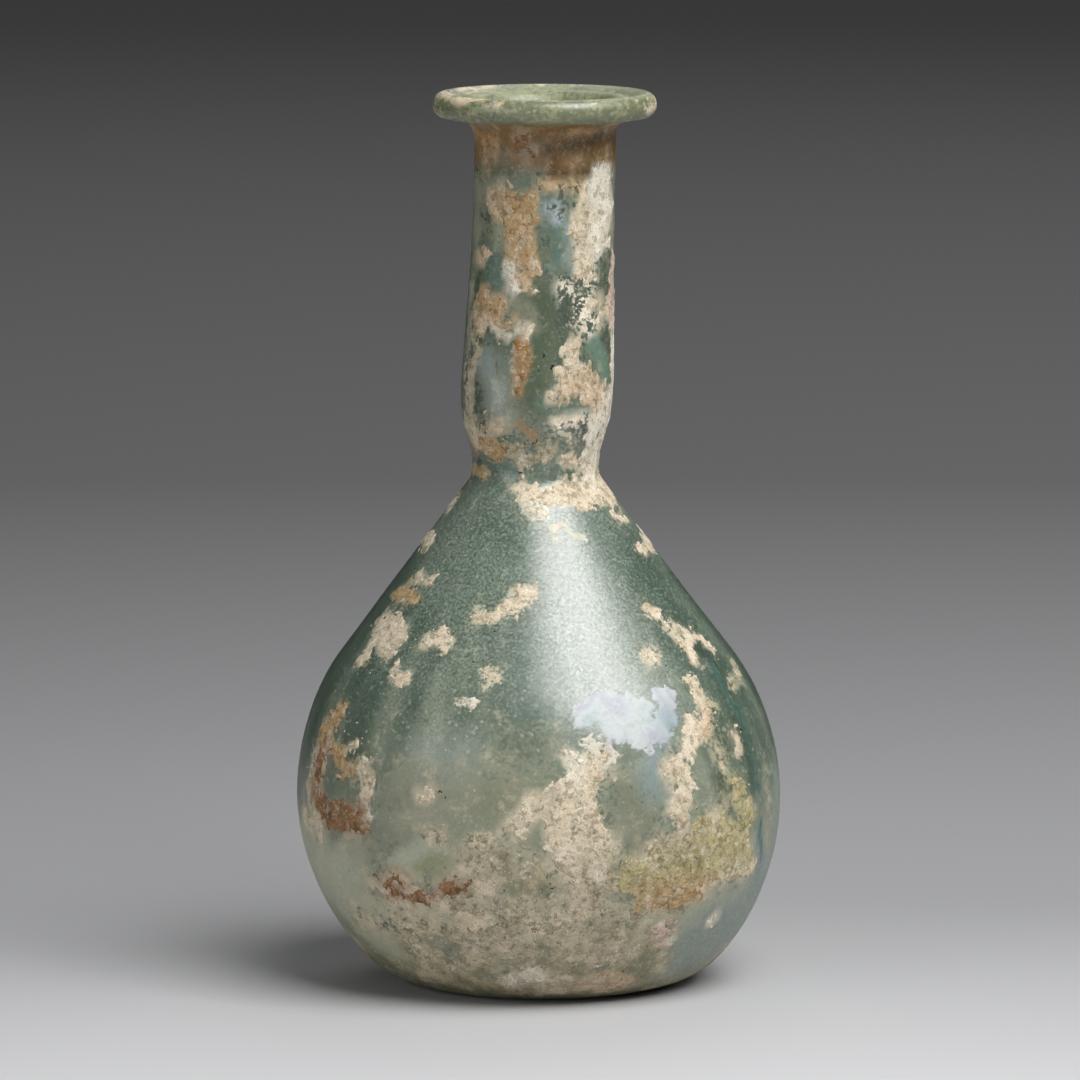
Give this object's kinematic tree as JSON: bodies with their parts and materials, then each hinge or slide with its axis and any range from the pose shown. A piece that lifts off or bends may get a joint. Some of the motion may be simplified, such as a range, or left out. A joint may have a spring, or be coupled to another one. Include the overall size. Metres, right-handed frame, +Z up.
{
  "type": "perfume flask",
  "caption": "Free-blown glass perfume flask with a round belly, long swelling neck and flat rolled rim, its surface weathered.",
  "frame": {"origin": "centre of the box round the flask, on the ground under its foot ring", "axes": "+Z up the neck to the mouth, +X to the right of the stored picture's view, -Y towards that view"},
  "size_m": [0.0716, 0.0716, 0.132],
  "materials": {
    "weathered_glass": "blue-green blown glass, see-through where clean, with a thin milky and iridescent weathering film and ragged patches of cream, tan and rust crust"
  },
  "bodies": {
    "root": {"perfume_flask": "weathered_glass"}
  },
  "joints": []
}
